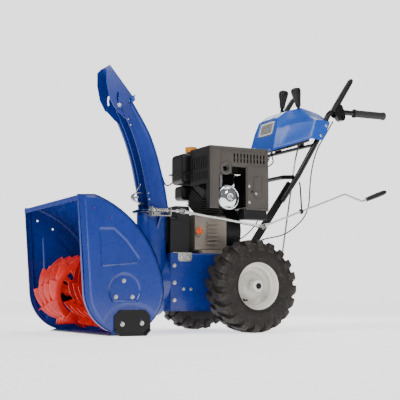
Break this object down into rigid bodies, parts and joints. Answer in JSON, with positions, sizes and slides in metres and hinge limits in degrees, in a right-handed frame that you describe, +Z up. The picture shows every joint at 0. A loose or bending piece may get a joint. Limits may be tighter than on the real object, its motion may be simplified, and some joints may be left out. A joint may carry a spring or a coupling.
{
  "type": "two-stage snowblower",
  "caption": "Walk-behind engine-driven snowblower with a wide auger bucket, an impeller, a turning discharge chute, two drive wheels and a pair of handles with controls.",
  "frame": {"origin": "on the ground, under the middle of the machine's length and width", "axes": "+Z up; the machine faces -Y; +X is the operator's left; the wheel axle runs along X"},
  "size_m": [0.728, 1.6042, 1.1919],
  "materials": {
    "blue_paint": "gloss",
    "red_paint": "gloss",
    "black_steel": "satin",
    "black_plastic": "fine texture",
    "shroud_plastic": "fine texture",
    "blue_plastic": "semi-gloss",
    "cast_alloy": "as cast",
    "zinc": "zinc plated",
    "steel": "machined",
    "chrome": "polished",
    "rim_white": "gloss",
    "tyre": "matte",
    "grip_rubber": "soft matte",
    "cable_jacket": "smooth",
    "belt_rubber": "matte",
    "orange_plastic": "gloss",
    "red_plastic": "gloss",
    "lens": "clear"
  },
  "bodies": {
    "frame": {"bucket_sides": "blue_paint", "bucket_back": "blue_paint", "scraper_blade": "black_steel", "skid_shoes": "black_steel", "auger_bearings": "black_steel", "auger_gearbox": "cast_alloy", "impeller_drum": "blue_paint", "transmission_case": "blue_paint", "transmission_floor": "blue_paint", "drive_chain": "steel", "drive_belts": "belt_rubber", "belt_cover": "black_plastic", "engine_crankcase": "cast_alloy", "engine_cylinder": "cast_alloy", "blower_housing": "black_plastic", "fuel_tank": "black_plastic", "engine_shroud": "shroud_plastic", "muffler": "chrome", "carburettor": "black_plastic", "lower_handles": "black_steel", "upper_handles": "black_steel", "handle_brackets": "black_steel", "handle_grips": "grip_rubber", "control_panel": "blue_plastic", "headlight": "lens", "control_cables": "cable_jacket", "hex_bolts": "zinc"},
    "auger": {"auger_shaft": "steel", "auger_flight_left": "red_paint", "auger_flight_right": "red_paint", "shear_pins": "zinc"},
    "impeller": {"impeller": "red_paint", "impeller_shaft": "steel"},
    "chute": {"chute": "blue_paint", "chute_ring": "black_steel", "chute_cable": "cable_jacket"},
    "deflector": {"deflector": "blue_paint"},
    "worm": {"chute_worm": "zinc"},
    "link": {"link_rod": "zinc"},
    "crank": {"crank_rod": "zinc"},
    "crank_grip": {"crank_grip": "grip_rubber"},
    "drive_disc": {"drive_disc": "cast_alloy"},
    "hex_shaft": {"hex_shaft": "steel"},
    "friction_wheel": {"friction_wheel": "belt_rubber"},
    "wheels": {"axle": "steel", "wheel_pins": "zinc", "rims": "rim_white", "tyres": "tyre"},
    "crankshaft": {"engine_pulley": "steel"},
    "auger_idler": {"auger_idler": "steel"},
    "drive_idler": {"drive_idler": "steel"},
    "recoil_handle": {"recoil_handle": "black_plastic"},
    "oil_cap": {"oil_cap": "orange_plastic"},
    "fuel_cap": {"fuel_cap": "orange_plastic"},
    "ignition_key": {"ignition_key": "red_plastic"},
    "clutch_lever_left": {"clutch_lever_left": "black_steel"},
    "clutch_lever_right": {"clutch_lever_right": "black_steel"},
    "gear_lever": {"gear_lever": "black_plastic"},
    "deflector_lever": {"deflector_lever": "black_plastic"},
    "shift_rod": {"shift_rod": "zinc"}
  },
  "joints": [
    {"name": "auger_spin", "type": "hinge", "parent": "frame", "child": "auger", "pos_m": [0, -0.602, 0.182], "axis": [1, 0, 0], "continuous": true},
    {"name": "impeller_spin", "type": "hinge", "parent": "frame", "child": "impeller", "pos_m": [0, -0.384, 0.226], "axis": [0, 1, 0], "continuous": true},
    {"name": "chute_rotate", "type": "hinge", "parent": "frame", "child": "chute", "pos_m": [0.09, -0.364, 0.527], "axis": [0, 0, 1], "range_deg": [-95, 95]},
    {"name": "deflector_tilt", "type": "hinge", "parent": "chute", "child": "deflector", "pos_m": [0.09, -0.484, 1.011], "axis": [1, 0, 0], "range_deg": [0, 45]},
    {"name": "worm_spin", "type": "hinge", "parent": "frame", "child": "worm", "pos_m": [0.1789, -0.364, 0.52725], "axis": [0, 1, 0], "continuous": true},
    {"name": "link_spin", "type": "hinge", "parent": "frame", "child": "link", "pos_m": [0.1789, -0.26, 0.52725], "axis": [0.2735, 0.947, -0.1684], "continuous": true},
    {"name": "crank_spin", "type": "hinge", "parent": "frame", "child": "crank", "pos_m": [0.28, 0.09, 0.465], "axis": [0, 0.9373, 0.3486], "continuous": true},
    {"name": "grip_spin", "type": "hinge", "parent": "crank", "child": "crank_grip", "pos_m": [0.28, 0.63618, 0.60306], "axis": [0, 0.9373, 0.3486], "continuous": true},
    {"name": "crankshaft_spin", "type": "hinge", "parent": "frame", "child": "crankshaft", "pos_m": [0, -0.264, 0.455], "axis": [0, 1, 0], "continuous": true},
    {"name": "drive_disc_spin", "type": "hinge", "parent": "frame", "child": "drive_disc", "pos_m": [0, -0.204, 0.255], "axis": [0, 1, 0], "continuous": true},
    {"name": "axle_spin", "type": "hinge", "parent": "frame", "child": "wheels", "pos_m": [0, 0.036, 0.203], "axis": [1, 0, 0], "continuous": true},
    {"name": "hex_shaft_spin", "type": "hinge", "parent": "frame", "child": "hex_shaft", "pos_m": [0, -0.107, 0.255], "axis": [1, 0, 0], "continuous": true},
    {"name": "friction_wheel_slide", "type": "slide", "parent": "hex_shaft", "child": "friction_wheel", "axis": [1, 0, 0], "range_m": [-0.045, 0.045]},
    {"name": "gear_lever_tilt", "type": "hinge", "parent": "frame", "child": "gear_lever", "pos_m": [0.1, 0.423, 0.96], "axis": [1, 0, 0], "range_deg": [-18, 18]},
    {"name": "shift_rod_slide", "type": "slide", "parent": "frame", "child": "shift_rod", "axis": [0, -0.1638, -0.9865], "range_m": [-0.014, 0.014]},
    {"name": "deflector_lever_tilt", "type": "hinge", "parent": "frame", "child": "deflector_lever", "pos_m": [-0.1, 0.423, 0.96], "axis": [1, 0, 0], "range_deg": [-22, 22]},
    {"name": "auger_clutch_squeeze", "type": "hinge", "parent": "frame", "child": "clutch_lever_left", "pos_m": [0.25, 0.544, 0.996], "axis": [1, 0, 0], "range_deg": [-50, 0], "stiffness_Nm_per_rad": 3, "springref_deg": 34.38},
    {"name": "drive_clutch_squeeze", "type": "hinge", "parent": "frame", "child": "clutch_lever_right", "pos_m": [-0.25, 0.544, 0.996], "axis": [1, 0, 0], "range_deg": [-50, 0], "stiffness_Nm_per_rad": 3, "springref_deg": 34.38},
    {"name": "auger_idler_swing", "type": "hinge", "parent": "frame", "child": "auger_idler", "pos_m": [-0.112, -0.264, 0.4], "axis": [0, 1, 0], "range_deg": [-12.5, 0]},
    {"name": "drive_idler_swing", "type": "hinge", "parent": "frame", "child": "drive_idler", "pos_m": [-0.112, -0.238, 0.4], "axis": [0, 1, 0], "range_deg": [-12.5, 0]},
    {"name": "starter_pull", "type": "slide", "parent": "frame", "child": "recoil_handle", "axis": [0, 1, 0], "range_m": [0, 0.25], "stiffness_N_per_m": 12, "springref_m": -0.3},
    {"name": "oil_cap_turn", "type": "hinge", "parent": "frame", "child": "oil_cap", "pos_m": [0.15, -0.158, 0.444], "axis": [0.8901, -0.178, 0.4196], "range_deg": [0, 350]},
    {"name": "fuel_cap_turn", "type": "hinge", "parent": "frame", "child": "fuel_cap", "pos_m": [-0.03, -0.107, 0.84], "axis": [0, 0, 1], "range_deg": [0, 90]},
    {"name": "key_pull", "type": "slide", "parent": "frame", "child": "ignition_key", "axis": [0, 1, 0], "range_m": [0, 0.012]}
  ],
  "couplings": [
    {"joint": "impeller_spin", "follows": "auger_spin", "ratio": 10},
    {"joint": "worm_spin", "follows": "chute_rotate", "ratio": -48},
    {"joint": "link_spin", "follows": "chute_rotate", "ratio": -48},
    {"joint": "crank_spin", "follows": "chute_rotate", "ratio": -48},
    {"joint": "hex_shaft_spin", "follows": "axle_spin", "ratio": 2.8},
    {"joint": "friction_wheel_slide", "follows": "gear_lever_tilt", "m_per_rad": 0.1431},
    {"joint": "shift_rod_slide", "follows": "gear_lever_tilt", "m_per_rad": -0.038},
    {"joint": "deflector_lever_tilt", "follows": "deflector_tilt", "ratio": -0.45},
    {"joint": "auger_idler_swing", "follows": "auger_clutch_squeeze", "ratio": 0.24},
    {"joint": "drive_idler_swing", "follows": "drive_clutch_squeeze", "ratio": 0.24}
  ]
}
